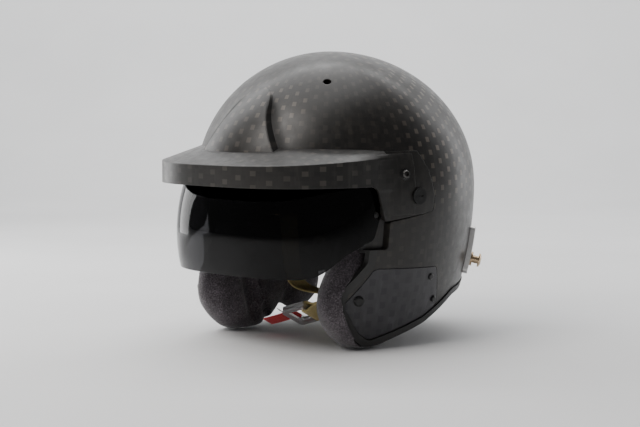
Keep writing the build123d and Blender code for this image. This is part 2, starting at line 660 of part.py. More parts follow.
# Foam and lining
liner_spots = [(-FOAM_SET, FOAM_FOOT), (FOAM_TURN, FOAM_FOOT), (FOAM_TURN + FOAM_SLOPE, FOAM_REAR_FOOT),
               (SPAN, FOAM_REAR_FOOT), (SPAN, 2 * SPAN), (-SPAN, 2 * SPAN),
               (-SPAN, BROW_HEIGHT + TRIM_IN), (-FOAM_SET, BROW_HEIGHT + TRIM_IN)]
liner_side = rounded(liner_spots, [FOAM_CORNER] * len(liner_spots))
room = sunk_form(WALL + FIT_GAP, [
    (offset(recess, amount=RECESS_WALL + FIT_GAP), sunk + FIT_GAP),
    (offset(cover_hole, amount=COVER_WALL + FIT_GAP), COVER_DEPTH + COVER_WALL + FIT_GAP)])
foam = (room & side_solid(liner_side)) - head_form(WALL + FIT_GAP + FOAM_THICK)
pocket = slab((HALF_WIDTH - 2 * ANCHOR_POCKET, STRAP_LEFT[0][1] - ANCHOR_POCKET, FOAM_FOOT / 2),
              (SPAN, STRAP_LEFT[0][1] + ANCHOR_POCKET, ANCHOR_HEIGHT + ANCHOR_POCKET))
foam = foam - both(pocket) - both(vent_drill)
lining_top = WALL + 2 * FIT_GAP + FOAM_THICK
lining_end = lining_top + LINING_THICK
lining = between(side_solid(offset(liner_side, amount=-FOAM_CORNER / 3)), lining_top, lining_end)
grooves = [Pos(i * LINING_GROOVE_STEP, 0, SPAN) * Box(LINING_GROOVE, SPAN, SPAN)
           & head_form(lining_end - LINING_GROOVE) for i in (-1, 0, 1)]
lining = lining - grooves - both(vent_drill)

# Cheek pads and neck roll
keep_out = side_solid(offset(edge, amount=TRIM_OUT + FIT_GAP)) - room
pad = cheek_pad()
seam = Pos(0, 0, PAD_SEAM_SHARES[0] * PAD_TOP) * Box(SPAN, SPAN, PAD_GROOVE)
pad = pad - (seam - extrude(pad_ring(*PAD_SEAM_SHARES, PAD_GROOVE_DEPTH), amount=PAD_GROOVE, both=True))
valley = Plane(origin=(PAD_OUT - PAD_HALF, PAD_VALLEY_RUN - PAD_VALLEY_SET, 0),
               z_dir=(0, -PAD_VALLEY_RUN, PAD_TOP / 2))
pad = pad - valley * Cylinder(PAD_VALLEY, 2 * PAD_TOP)
pad = (pad - keep_out).solids().sort_by(SortBy.VOLUME)[-1]
stud_depth = PAD_STUD_LENGTH
pad_studs = []
for y, height in PAD_STUD_SPOTS:
    stud_base = surface_plane(y, height, WALL)
    pad_studs.append(drill(stud_base, PAD_STUD, stud_depth, WALL / 3) & inner)
    pad = pad - drill(stud_base, PAD_STUD + FIT_GAP, stud_depth + FIT_GAP, WALL)
nut_space = drill(post_spot, POST_NUT + FIT_GAP, WALL + POST_NUT_HEIGHT + FIT_GAP, 0)
roll = (neck_roll() & room) - both(pad) - both(nut_space)

# Head restraint bases, posts and nuts
base_spots = [(-BASE_WIDTH / 2, -BASE_DROP), (BASE_WIDTH / 2, -BASE_DROP),
              (BASE_TOP_WIDTH / 2, BASE_RISE), (-BASE_TOP_WIDTH / 2, BASE_RISE)]
base = post_spot * extrude(rounded(base_spots, [BASE_CORNER] * 4), amount=FOAM_THICK, both=True)
base = between(base, -BASE_LIFT, 0) - post_drill
flange_top = BASE_LIFT + POST_FLANGE_HEIGHT
neck_top = flange_top + POST_NECK_LENGTH
head_top = neck_top + POST_HEAD_HEIGHT
post = post_spot * turned([(0, -WALL - POST_NUT_HEIGHT), (POST_SHANK, -WALL - POST_NUT_HEIGHT),
                           (POST_SHANK, BASE_LIFT), (POST_FLANGE, BASE_LIFT), (POST_FLANGE, flange_top),
                           (POST_NECK, flange_top), (POST_NECK, neck_top), (POST_HEAD, neck_top),
                           (POST_HEAD, neck_top + POST_HEAD_HEIGHT / 2), (POST_NECK, head_top), (0, head_top)])
nut = (drill(post_spot, POST_NUT, WALL + POST_NUT_HEIGHT, 0) & head_form(WALL)) - post_drill

# Chin strap, its plates and rivets
sewn = Vector(*RING_SPOT) - ring_plane(0).x_dir * (RING_BAR + LOOP_GAP + STRAP_THICK / 2)
stations = [*STRAP_LEFT, tuple(sewn)]
bend = len(stations) // 2
strap_left = tape(stations, [STRAP_TILT * max(0, i - bend + 1) / bend for i in range(len(stations))])
strap_right = mirror(tape(STRAP_RIGHT, [0] * len(STRAP_RIGHT)), about=Plane.YZ)
plate = root_spot * Box(ANCHOR_PLATE, ANCHOR_PLATE * 0.7, 2 * ANCHOR_PLATE_THICK) & head_form(WALL)
rivet_reach = ANCHOR_PLATE_THICK + 2 * STRAP_THICK
rivet = root_spot * turned([(0, WALL / 2), (RIVET_SHANK, WALL / 2), (RIVET_SHANK, -rivet_reach),
                            (RIVET_RADIUS, -rivet_reach), (RIVET_RADIUS * 0.7, -rivet_reach - RIVET_HEAD),
                            (0, -rivet_reach - RIVET_HEAD)])
strap_left = strap_left - rivet_drill
strap_right = strap_right - mirror(rivet_drill, about=Plane.YZ)
plate = plate - rivet_drill

# Rings and pull tab
middle = ring_plane(0)
strap_left = strap_left + middle * strap_eye()
upper_ring, lower_ring = ring(RING_STACK / 2), ring(-RING_STACK / 2)
sleeve = (RING_FAR + 2 * BUSH_FIT, RING_THICK + 2 * BUSH_FIT)
tab_start = RING_WINDOW + RING_FAR
tail_thick = 1.4 * TAB_THICK
tab = Box(sleeve[0] + 2 * TAB_THICK, sleeve[1] + 2 * TAB_THICK, TAB_WIDTH) - Box(*sleeve, 2 * TAB_WIDTH)
tab = Pos(RING_WINDOW + RING_FAR / 2, 0, 0) * tab
tail = Box(TAB_LENGTH, tail_thick, TAB_WIDTH, align=(Align.MIN, Align.CENTER, Align.CENTER))
tab = ring_plane(RING_STACK / 2) * (tab + Pos(tab_start + TAB_THICK / 2, 0, 0) * tail)
tape_spot = Pos(tab_start + 2 * TAB_THICK, tail_thick / 2, 0)
tab_label = Box(TAPE_LENGTH, TAPE_THICK, TAB_WIDTH, align=(Align.MIN, Align.MIN, Align.CENTER))
tab_label = ring_plane(RING_STACK / 2) * tape_spot * tab_label

nodes = {
    "outer_shell": shell,
    "edge_trim": trim,
    "energy_liner": foam,
    "crown_lining": lining,
    "neck_roll": roll,
    "cheek_pad_left": pad,
    "cheek_pad_right": mirror(pad, about=Plane.YZ),
    "cheek_pad_studs": both(Compound(children=pad_studs)),
    "peak": peak,
    "peak_screws": both(peak_screw),
    "peak_screw_cups": both(cup),
    "peak_spacers": both(spacer),
    "visor": visor,
    "visor_studs": both(stud),
    "visor_pivot_bushes": both(bush),
    "visor_pivot_screws": both(pivot_screw),
    "cover_left": covers.solids().sort_by(Axis.X)[-1],
    "cover_right": covers.solids().sort_by(Axis.X)[0],
    "cover_screws": both(Compound(children=cover_screws)),
    "anchor_base_left": base,
    "anchor_base_right": mirror(base, about=Plane.YZ),
    "anchor_posts": both(post),
    "anchor_nuts": both(nut),
    "strap_left": strap_left,
    "strap_right": strap_right,
    "strap_plates": both(plate),
    "strap_rivets": both(rivet),
    "ring_upper": upper_ring,
    "ring_lower": lower_ring,
    "pull_tab": tab,
    "tab_tape": tab_label,
}
lowest = min(node.bounding_box().min.Z for node in nodes.values())
shift = Pos(0, (PEAK_REACH + PEAK_CENTRE - REAR_REACH) / 2, -lowest)
os.makedirs("parts", exist_ok=True)
for name, node in nodes.items():
    export_step(shift * node, f"parts/{name}.step")
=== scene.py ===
"""Looks of the open-face racing helmet: materials, soft pieces, webbing, light and camera."""
import math

import bmesh
import bpy
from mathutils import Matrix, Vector, noise
from mathutils.bvhtree import BVHTree


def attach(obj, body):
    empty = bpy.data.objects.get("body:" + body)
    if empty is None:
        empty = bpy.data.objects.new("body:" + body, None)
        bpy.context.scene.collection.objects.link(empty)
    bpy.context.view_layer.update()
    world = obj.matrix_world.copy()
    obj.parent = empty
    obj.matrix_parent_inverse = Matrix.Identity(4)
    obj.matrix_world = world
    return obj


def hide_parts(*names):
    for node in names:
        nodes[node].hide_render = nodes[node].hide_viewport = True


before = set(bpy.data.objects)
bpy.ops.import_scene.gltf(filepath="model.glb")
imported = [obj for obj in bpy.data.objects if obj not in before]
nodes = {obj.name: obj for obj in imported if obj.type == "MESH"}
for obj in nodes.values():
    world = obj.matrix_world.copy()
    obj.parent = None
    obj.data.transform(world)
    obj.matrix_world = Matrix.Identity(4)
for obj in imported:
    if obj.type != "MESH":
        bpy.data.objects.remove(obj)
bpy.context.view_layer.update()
scene = bpy.context.scene

# The form that the carbon cloth follows, in metres, and how far up its flat top faces
HEAD_SET = 0.005
HEAD_ROUND = 0.125
HEAD_WIDEST = 0.138
HEAD_DOME = 0.1235
FLAT_TOP = 0.86

# The cloth's small squares: their lattice, their blurred edge and the fades between where they show
CLOTH_PITCH = 0.0117
CLOTH_STAGGER = 1 / 3
TOWS_A_PITCH = 3.0
SQUARE_EDGE = (0.03, 0.02)
REAR_FADE = (-0.04, 0.03)
WAIST_FADE = (0.112, 0.15)
BROW_SIDE_FADE = (0.045, 0.058)
BROW_REAR_FADE = (-0.085, -0.065)
BROW_SHARE = 0.42
FAINT_SHARE = 0.1
WING_FADE = (-0.075, -0.05)
WING_SHARE = 0.12

# Painted shade along the crease beside the raised forehead section
HUMP_FOOT = 0.166
HUMP_HALF = 0.0478
HUMP_TAPER = 0.70
HUMP_BEND = 1.65
CREASE_SHADE_START = (-0.0022, 0.0004)
CREASE_SHADE_FADE = (0.0006, 0.012)
CREASE_SHADE_FOOT = (0.158, 0.172)
CREASE_SHADE_TOP = (0.206, 0.226)
CREASE_SHADE_REAR = (-0.03, -0.045)

# Cushions
LOBE_SPOT = (0.066, 0.025, 0.042)
LOBE_RADII = (0.018, 0.034, 0.032)
VALLEY_SET = -0.044
VALLEY_KNEE = 0.055
VALLEY_CURVE = 12.0
VALLEY_DEPTH = 0.008
VALLEY_WIDTH = 0.0045
VALLEY_TURN = 1.6
WRINKLES = ((38, 0.0009), (120, 0.0003))
CLOTH_STEPS = 20

# Patches over the line where the peak's hood meets its wings
HOOD_END = -0.0466
FAIRING_FOOT = 0.113
FAIRING_TOP = 0.1705
FAIRING_AHEAD = 0.011
FAIRING_BEHIND = 0.026
FAIRING_THICK = 0.0005
FAIRING_LIFT = 0.00004
FAIRING_INSET = 0.0005
FAIRING_STEP = 0.001
FAIRING_CREASE = math.radians(50)
BEYOND_PEAK = 0.2
FAIRING_ROWS = 46
FAIRING_SPANS = 30

# Straps, rings and pull tab, in the CAD model's millimetres, and the directions round the rings
MM = 0.001
SHIFT = Vector((0, 5, 0))
TILT = math.radians(28)
SAG = math.radians(20)
BAR = Vector((17, -44, 26))
DOWN = Vector((-math.cos(SAG), -math.sin(SAG) * math.sin(TILT), -math.sin(SAG) * math.cos(TILT)))
ALONG = Vector((0, math.cos(TILT), -math.sin(TILT)))
UP = ALONG.cross(DOWN)
STACK_UP = 1.9

# Width and thickness of each tape, in metres
STRAP_SIZE = (0.022, 0.0017)
TAB_SIZE = (0.013, 0.00075)
LABEL_SIZE = (0.0128, 0.0005)

# The photograph's view, which the studio is built round
AZIMUTH = math.radians(43)
ELEVATION = math.radians(4.67)
DISTANCE = 1.2923
TARGET_ACROSS = -0.00983
TARGET_SPOT = (0, 0.005, 0.1107)
SENSOR_WIDTH = 36
FOCAL_PIXELS = 1390
PHOTO_WIDTH_PIXELS = 640
TOWARDS = Vector((math.sin(AZIMUTH), -math.cos(AZIMUTH), 0))
ACROSS = Vector((math.cos(AZIMUTH), math.sin(AZIMUTH), 0))


# Materials
class Shader:
    """A small helper that builds a node tree round one Principled shader."""

    def __init__(self, name, rough=0.5, metal=0.0):
        self.material = bpy.data.materials.new(name)
        self.material.use_nodes = True
        self.tree = self.material.node_tree
        self.tree.nodes.clear()
        out = self.tree.nodes.new("ShaderNodeOutputMaterial")
        self.surface = self.tree.nodes.new("ShaderNodeBsdfPrincipled")
        self.tree.links.new(self.surface.outputs[0], out.inputs[0])
        self.set("Roughness", rough)
        self.set("Metallic", metal)
        self.where = self.tree.nodes.new("ShaderNodeTexCoord")

    def feed(self, socket, value):
        """Links a socket to another, or gives it a plain value."""
        if isinstance(value, bpy.types.NodeSocket):
            self.tree.links.new(value, socket)
        else:
            socket.default_value = value

    def set(self, name, value):
        """Gives an input of the surface its value."""
        self.feed(self.surface.inputs[name], value)

    def math(self, operation, *values):
        """A sum, a product or another operation on numbers and sockets."""
        node = self.tree.nodes.new("ShaderNodeMath")
        node.operation = operation
        for i, value in enumerate(values):
            self.feed(node.inputs[i], value)
        return node.outputs[0]

    def mix(self, share, first, second):
        """A colour between two, each an RGB tuple or a socket."""
        node = self.tree.nodes.new("ShaderNodeMix")
        node.data_type = "RGBA"
        self.feed(node.inputs[0], share)
        for i, value in ((6, first), (7, second)):
            self.feed(node.inputs[i], (*value, 1) if isinstance(value, tuple) else value)
        return node.outputs[2]

    def ramp(self, value, *stops):
        """A colour ramp from stops of place and RGB colour."""
        node = self.tree.nodes.new("ShaderNodeValToRGB")
        spots = node.color_ramp.elements
        while len(spots) < len(stops):
            spots.new(0.5)
        for spot, (place, color) in zip(spots, stops):
            spot.position = place
            spot.color = (*color, 1)
        self.feed(node.inputs[0], value)
        return node.outputs[0]

    def rise(self, value, low, high, to_low=0.0, to_high=1.0):
        """A smooth step while value goes from low to high."""
        node = self.tree.nodes.new("ShaderNodeMapRange")
        node.interpolation_type = "SMOOTHSTEP"
        for i, part in enumerate((value, low, high, to_low, to_high)):
            self.feed(node.inputs[i], part)
        return node.outputs[0]

    def fall(self, value, low, high):
        """One below low, and none above high."""
        return self.rise(value, low, high, 1.0, 0.0)

    def place(self, stretch=(1, 1, 1)):
        """The place on the object, stretched along its axes."""
        node = self.tree.nodes.new("ShaderNodeMapping")
        node.inputs["Scale"].default_value = stretch
        self.tree.links.new(self.where.outputs["Object"], node.inputs[0])
        return node.outputs[0]

    def noise(self, size, detail=3.0, rough=0.5, stretch=(1, 1, 1)):
        """Noise over the object, finer with a greater size."""
        node = self.tree.nodes.new("ShaderNodeTexNoise")
        node.inputs["Scale"].default_value = size
        node.inputs["Detail"].default_value = detail
        node.inputs["Roughness"].default_value = rough
        self.tree.links.new(self.place(stretch), node.inputs["Vector"])
        return node.outputs[0]

    def parts(self, vector):
        """The three parts of a vector."""
        node = self.tree.nodes.new("ShaderNodeSeparateXYZ")
        self.tree.links.new(vector, node.inputs[0])
        return node.outputs

    def rounded(self, radius):
        """The normal with edges rounded by a radius, so that they catch the light."""
        node = self.tree.nodes.new("ShaderNodeBevel")
        node.inputs["Radius"].default_value = radius
        return node.outputs[0]

    def bump(self, height, distance, strength, edge=None):
        """Raises the surface by a height, and rounds its edges where a radius is given."""
        node = self.tree.nodes.new("ShaderNodeBump")
        if edge:
            self.tree.links.new(self.rounded(edge), node.inputs["Normal"])
        node.inputs["Distance"].default_value = distance
        node.inputs["Strength"].default_value = strength
        self.feed(node.inputs["Height"], height)
        self.set("Normal", node.outputs[0])


def woven_places(s):
    """Across and up along the cloth, in metres: round the head on the sides, flat on top."""
    x, y, z = s.parts(s.where.outputs["Object"])
    facing = s.parts(s.where.outputs["Normal"])[2]
    top = s.math("GREATER_THAN", facing, FLAT_TOP)
    sides = s.math("SUBTRACT", 1.0, top)
    back = s.math("SUBTRACT", y, HEAD_SET)
    turn = s.math("ARCTAN2", x, s.math("MULTIPLY", back, -1.0))
    around = s.math("MULTIPLY", turn, HEAD_ROUND)
    lift = s.math("SUBTRACT", z, HEAD_WIDEST)
    share = s.math("MINIMUM", s.math("MAXIMUM", s.math("DIVIDE", lift, HEAD_DOME), 0.0), 1.0)
    arc = s.math("MULTIPLY", s.math("ARCSINE", share), HEAD_DOME)
    up = s.math("ADD", arc, s.math("MINIMUM", lift, 0.0))
    across = s.math("ADD", s.math("MULTIPLY", around, sides), s.math("MULTIPLY", x, top))
    along = s.math("ADD", s.math("MULTIPLY", up, sides), s.math("MULTIPLY", y, top))
    return across, along


def weave(s, pitch, size):
    """A mask of small squares on a staggered lattice, and a tone for each tow of the cloth."""
    across, along = woven_places(s)
    columns = s.math("DIVIDE", across, pitch)
    stagger = s.math("MULTIPLY", s.math("FLOOR", columns), CLOTH_STAGGER)
    rows = s.math("SUBTRACT", s.math("DIVIDE", along, pitch), stagger)
    inside = []
    for part in (columns, rows):
        off = s.math("ABSOLUTE", s.math("SUBTRACT", s.math("FRACT", part), 0.5))
        inside.append(s.fall(off, size - SQUARE_EDGE[0], size + SQUARE_EDGE[1]))
    cell = s.tree.nodes.new("ShaderNodeCombineXYZ")
    for i, part in enumerate((columns, rows)):
        s.feed(cell.inputs[i], s.math("FLOOR", s.math("MULTIPLY", part, TOWS_A_PITCH)))
    random = s.tree.nodes.new("ShaderNodeTexWhiteNoise")
    s.tree.links.new(cell.outputs[0], random.inputs[0])
    return s.math("MULTIPLY", *inside), random.outputs[0]


def rear_and_brow(s):
    """How plainly the shell's squares show: most on the rear sides, less on the brow, faint elsewhere."""
    x, y, z = s.parts(s.where.outputs["Object"])
    rear = s.math("MULTIPLY", s.rise(y, *REAR_FADE), s.rise(z, *WAIST_FADE))
    middle = s.fall(s.math("ABSOLUTE", x), *BROW_SIDE_FADE)
    front = s.math("MULTIPLY", middle, s.fall(y, *BROW_REAR_FADE))
    brow = s.math("MULTIPLY", front, BROW_SHARE)
    plainest = s.math("MULTIPLY", s.math("MAXIMUM", rear, brow), 1 - FAINT_SHARE)
    return s.math("ADD", plainest, FAINT_SHARE)


def ahead_of_wings(s):
    """How plainly the peak's squares show: on its top and front, and hardly on its wings."""
    y = s.parts(s.where.outputs["Object"])[1]
    return s.rise(y, *WING_FADE, 1.0, WING_SHARE)


def shade_beside_hump(s):
    """How much painted shade falls on a place by the crease beside the hump: one in it, none further out.
    """
    x, y, z = s.parts(s.where.outputs["Object"])
    lift = s.math("SUBTRACT", z, HUMP_FOOT)
    taper = s.math("SUBTRACT", HUMP_TAPER, s.math("MULTIPLY", lift, HUMP_BEND))
    half = s.math("SUBTRACT", HUMP_HALF, s.math("MULTIPLY", lift, taper))
    off = s.math("SUBTRACT", s.math("ABSOLUTE", x), half)
    near = s.math("MULTIPLY", s.rise(off, *CREASE_SHADE_START), s.fall(off, *CREASE_SHADE_FADE))
    ends = s.math("MULTIPLY", s.rise(z, *CREASE_SHADE_FOOT), s.fall(z, *CREASE_SHADE_TOP))
    return s.math("MULTIPLY", s.math("MULTIPLY", near, ends), s.rise(y, *CREASE_SHADE_REAR))


def shaded(color, share):
    """A colour made darker or lighter by a share."""
    return tuple(part * share for part in color)


def carbon(name, dark, mid, square, strength=1.0, pitch=CLOTH_PITCH, size=0.2, zone=None,
           shade_crease=False):
    """Bare woven carbon: cloudy and streaked, with small paler or darker squares in it, and where asked
    painted shade along the crease beside the hump.
    """
    s = Shader(name, metal=0.05)
    squares, tows = weave(s, pitch, size)
    base = s.mix(s.rise(s.noise(9.0, detail=4.0), 0.35, 0.7), dark, mid)
    base = s.mix(s.math("MULTIPLY", tows, 0.30), base, shaded(mid, 1.7))
    streaks = s.noise(140.0, rough=0.65, stretch=(1, 1, 0.16))
    base = s.mix(s.rise(streaks, 0.5, 0.75, 0.0, 0.45), base, shaded(mid, 2.2))
    fibres = s.noise(620.0, detail=2.0, stretch=(1, 1, 0.12))
    base = s.mix(s.math("MULTIPLY", fibres, 0.25), base, shaded(dark, 0.3))
    patches = s.rise(s.noise(14.0, detail=2.0), 0.3, 0.62, 0.45 * strength, strength)
    seen = s.math("MULTIPLY", squares, patches)
    if zone:
        seen = s.math("MULTIPLY", seen, zone(s))
    color = s.mix(seen, base, square)
    gloss = s.rise(s.noise(120.0), 0.2, 0.8, 0.33, 0.45)
    if shade_crease:
        # Painted shade: the colour darkens to near black along the crease beside the hump, and the gloss
        # there also turns rougher
        crease_shade = shade_beside_hump(s)
        color = s.mix(s.math("MULTIPLY", crease_shade, 0.8), color, (0.002, 0.0018, 0.0016))
        gloss = s.math("ADD", gloss, s.math("MULTIPLY", crease_shade, 0.45))
    s.set("Base Color", color)
    s.set("Roughness", gloss)
    s.set("Specular IOR Level", 0.4)
    s.set("Coat Weight", 0.12)
    s.set("Coat Roughness", 0.25)
    height = s.math("ADD", s.math("MULTIPLY", seen, 0.5), s.math("MULTIPLY", s.noise(300.0), 0.35))
    height = s.math("ADD", height, s.math("MULTIPLY", tows, 0.25))
    s.bump(height, distance=0.00012, strength=0.6, edge=0.0011)
    return s.material


def knit(name, low, mid, high, fleck):
    """Soft melange knit, with fine loops and pale flecks."""
    s = Shader(name, rough=0.92)
    melange = s.noise(720.0, rough=0.7)
    wide = s.noise(60.0, detail=2.0)
    tone = s.math("ADD", melange, s.math("MULTIPLY", s.math("SUBTRACT", wide, 0.5), 0.25))
    s.set("Base Color", s.ramp(tone, (0.3, low), (0.47, mid), (0.6, high), (0.75, fleck)))
    loops = s.noise(1500.0, detail=2.0, rough=0.6)
    height = s.math("ADD", s.math("MULTIPLY", loops, 0.6), s.math("MULTIPLY", melange, 0.5))
    s.bump(height, distance=0.0007, strength=0.8)
    s.set("Sheen Weight", 0.35)
    s.set("Sheen Roughness", 0.5)
    s.set("Specular IOR Level", 0.2)
    return s.material


def plain(name, color, rough, metal=0.0, grain=260.0, depth=0.00006, vary=0.3, stretch=(1, 1, 1)):
    """A dense material whose colour, gloss and surface all vary finely."""
    s = Shader(name, metal=metal)
    fine = s.noise(grain, detail=4.0, rough=0.6, stretch=stretch)
    wide = s.noise(grain / 14)
    tone = s.math("ADD", s.math("MULTIPLY", fine, 0.5), s.math("MULTIPLY", wide, 0.5))
    s.set("Base Color", s.ramp(tone, (0.3, shaded(color, 1 - vary)), (0.7, shaded(color, 1 + vary))))
    s.set("Roughness", s.rise(wide, 0.25, 0.75, rough * 0.85, rough * 1.2))
    s.bump(fine, distance=depth, strength=0.7)
    return s.material


def webbing(name, color, dark, along=0.0016, across=0.0011):
    """Tape woven in small ribs, drawn along the piece's own length and width."""
    s = Shader(name, rough=0.75)
    u, v, _ = s.parts(s.where.outputs["UV"])
    rib = s.math("SINE", s.math("MULTIPLY", u, 2 * math.pi / along))
    thread = s.math("SINE", s.math("MULTIPLY", v, 2 * math.pi / across))
    twill = s.math("MULTIPLY", rib, thread)
    tone = s.math("ADD", s.rise(twill, -0.8, 0.9), s.math("MULTIPLY", s.noise(500.0), 0.4))
    s.set("Base Color", s.ramp(tone, (0.2, dark), (0.9, color)))
    s.set("Sheen Weight", 0.2)
    s.bump(twill, distance=0.0003, strength=0.7)
    return s.material


def lens_glass(name, tint):
    """Smoke-tinted clear plastic with a faint film on it."""
    s = Shader(name)
    s.set("Normal", s.rounded(0.0009))
    film = s.noise(18.0, detail=2.0)
    s.set("Base Color", s.mix(film, tint, shaded(tint, 1.15)))
    s.set("Roughness", s.rise(film, 0.3, 0.7, 0.005, 0.02))
    s.set("Transmission Weight", 1.0)
    s.set("IOR", 1.25)
    s.set("Specular IOR Level", 0.3)
    return s.material


def bead_foam(name):
    """Black bead foam, each bead a small raised cell."""
    s = Shader(name, rough=0.85)
    beads = s.tree.nodes.new("ShaderNodeTexVoronoi")
    beads.inputs["Scale"].default_value = 330.0
    s.tree.links.new(s.place(), beads.inputs["Vector"])
    s.set("Base Color", s.ramp(beads.outputs[0], (0.1, (0.05, 0.05, 0.055)), (0.7, (0.016, 0.016, 0.018))))
    s.bump(s.math("SUBTRACT", 1.0, beads.outputs[0]), distance=0.0005, strength=0.8)
    return s.material


# The shell's carbon paints shade along the crease beside the forehead hump
SHELL = carbon("carbon_shell", dark=(0.0045, 0.0039, 0.0034), mid=(0.0155, 0.0133, 0.0112),
               square=(0.14, 0.116, 0.095), zone=rear_and_brow, shade_crease=True)
PEAK = carbon("carbon_peak", dark=(0.008, 0.0073, 0.0066), mid=(0.020, 0.0183, 0.0163),
              square=(0.075, 0.066, 0.057), strength=0.5, size=0.19, zone=ahead_of_wings)
COVER = carbon("carbon_cover", dark=(0.022, 0.021, 0.0245), mid=(0.030, 0.0288, 0.033),
               square=(0.0135, 0.013, 0.0175), strength=0.7, pitch=0.0125, size=0.24)
TRIM = plain("trim_rubber", (0.016, 0.0155, 0.015), rough=0.5, grain=420.0)
NYLON = plain("turned_nylon", (0.014, 0.014, 0.014), rough=0.5)
BLACK = plain("black_anodised", (0.010, 0.010, 0.010), rough=0.34, metal=0.3, grain=500.0, depth=0.00003)
STEEL = plain("polished_steel", (0.80, 0.80, 0.81), rough=0.33, metal=0.9, grain=380.0, depth=0.00002,
              vary=0.1, stretch=(1, 1, 6))
SCREW = plain("dark_screw_steel", (0.09, 0.088, 0.085), rough=0.3, metal=1.0, grain=380.0,
              depth=0.00002, vary=0.15)
ALLOY = plain("anchor_alloy", (0.74, 0.73, 0.72), rough=0.34, metal=0.9, grain=300.0,
              depth=0.00003, vary=0.12)
BRONZE = plain("post_bronze", (0.56, 0.42, 0.27), rough=0.28, metal=1.0, grain=380.0,
               depth=0.00003, vary=0.18)
LENS = lens_glass("smoke_lens", (0.030, 0.030, 0.032))
FOAM = bead_foam("bead_foam")
KNIT = knit("melange_knit", low=(0.022, 0.0185, 0.021), mid=(0.054, 0.046, 0.052),
            high=(0.104, 0.090, 0.100), fleck=(0.22, 0.195, 0.21))
DARK_KNIT = knit("lining_knit", low=(0.012, 0.010, 0.012), mid=(0.028, 0.024, 0.027),
                 high=(0.050, 0.043, 0.047), fleck=(0.10, 0.09, 0.095))
ARAMID = webbing("aramid_tape", (0.86, 0.70, 0.32), (0.55, 0.41, 0.15))
RED = webbing("red_tape", (0.90, 0.022, 0.032), (0.60, 0.008, 0.014))
WHITE = webbing("white_tape", (0.86, 0.85, 0.82), (0.62, 0.61, 0.58))
THREAD = plain("sewing_thread", (0.62, 0.50, 0.22), rough=0.8)
RED_THREAD = plain("red_thread", (0.55, 0.03, 0.03), rough=0.8)

FINISHES = {
    SHELL: ("outer_shell",),
    PEAK: ("peak",),
    COVER: ("cover_left", "cover_right"),
    TRIM: ("edge_trim",),
    FOAM: ("energy_liner",),
    DARK_KNIT: ("crown_lining",),
    KNIT: ("neck_roll", "cheek_pad_left", "cheek_pad_right"),
    LENS: ("visor",),
    NYLON: ("cheek_pad_studs", "peak_spacers", "visor_pivot_bushes"),
    BLACK: ("peak_screw_cups", "visor_studs", "visor_pivot_screws", "cover_screws"),
    SCREW: ("peak_screws",),
    STEEL: ("anchor_nuts", "strap_plates", "strap_rivets", "ring_upper", "ring_lower"),
    ALLOY: ("anchor_base_left", "anchor_base_right"),
    BRONZE: ("anchor_posts",),
    ARAMID: ("strap_left", "strap_right"),
    RED: ("pull_tab",),
    WHITE: ("tab_tape",),
}
for material, names in FINISHES.items():
    for name in names:
        nodes[name].data.materials.clear()
        nodes[name].data.materials.append(material)


# What the scene's own pieces are made with
def new_piece(name, mesh, material, body):
    """A smooth-shaded piece that rides on a body."""
    piece = bpy.data.objects.new(name, mesh)
    scene.collection.objects.link(piece)
    mesh.materials.clear()
    mesh.materials.append(material)
    mesh.polygons.foreach_set("use_smooth", [True] * len(mesh.polygons))
    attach(piece, body)
    return piece


def mesh_of(form, name):
    """The mesh of a bmesh, with its faces turned outward."""
    bmesh.ops.recalc_face_normals(form, faces=form.faces)
    mesh = bpy.data.meshes.new(name)
    form.to_mesh(mesh)
    form.free()
    return mesh


def tree_of(mesh):
    """A search tree of a mesh's faces."""
    form = bmesh.new()
    form.from_mesh(mesh)
    tree = BVHTree.FromBMesh(form)
    form.free()
    return tree


def settle(work):
    """Applies a working piece's modifiers and gives its new mesh."""
    graph = bpy.context.evaluated_depsgraph_get()
    mesh = bpy.data.meshes.new_from_object(work.evaluated_get(graph))
    work.modifiers.clear()
    work.data = mesh
    return mesh


# Cushions
def with_lobe(node, middle, radii):
    """A copy of a CAD node's mesh joined by a rounded lobe."""
    joined = bmesh.new()
    joined.from_mesh(nodes[node].data)
    ball = bmesh.ops.create_icosphere(joined, subdivisions=3, radius=1.0)
    for vertex in ball["verts"]:
        vertex.co = Vector(middle) + Vector([part * size for part, size in zip(vertex.co, radii)])
    mesh = bpy.data.meshes.new(node + "_start")
    joined.to_mesh(mesh)
    joined.free()
    return mesh


def valley(vertex):
    """How deep the seam between the pad's front and rear lobes draws a place in."""
    spot = vertex.co
    inward = -vertex.normal.x * math.copysign(1.0, spot.x)
    low = max(0.0, VALLEY_KNEE - spot.z)
    line = VALLEY_SET + low * low * VALLEY_CURVE
    share = max(0.0, min(1.0, inward * VALLEY_TURN + 0.5))
    return VALLEY_DEPTH * share * math.exp(-((spot.y - line) / VALLEY_WIDTH) ** 2)


def even_skin(work, voxel):
    """Rebuilds a working piece from even voxels, lightly smoothed."""
    remesh = work.modifiers.new("remesh", "REMESH")
    remesh.mode = "VOXEL"
    remesh.voxel_size = voxel
    smooth = work.modifiers.new("smooth", "SMOOTH")
    smooth.factor = 0.5
    smooth.iterations = 3
    return settle(work)


def blow_up(work, pressure):
    """Fills a working piece out by cloth pressure."""
    cloth = work.modifiers.new("cloth", "CLOTH")
    cloth.settings.quality = 5
    cloth.settings.mass = 0.3
    cloth.settings.tension_stiffness = 12
    cloth.settings.compression_stiffness = 12
    cloth.settings.bending_stiffness = 0.4
    cloth.settings.use_pressure = True
    cloth.settings.uniform_pressure_force = pressure
    cloth.settings.effector_weights.gravity = 0
    cloth.point_cache.frame_start = 1
    cloth.point_cache.frame_end = CLOTH_STEPS
    for step in range(1, CLOTH_STEPS + 1):
        scene.frame_set(step)
    mesh = settle(work)
    scene.frame_set(1)
    return mesh


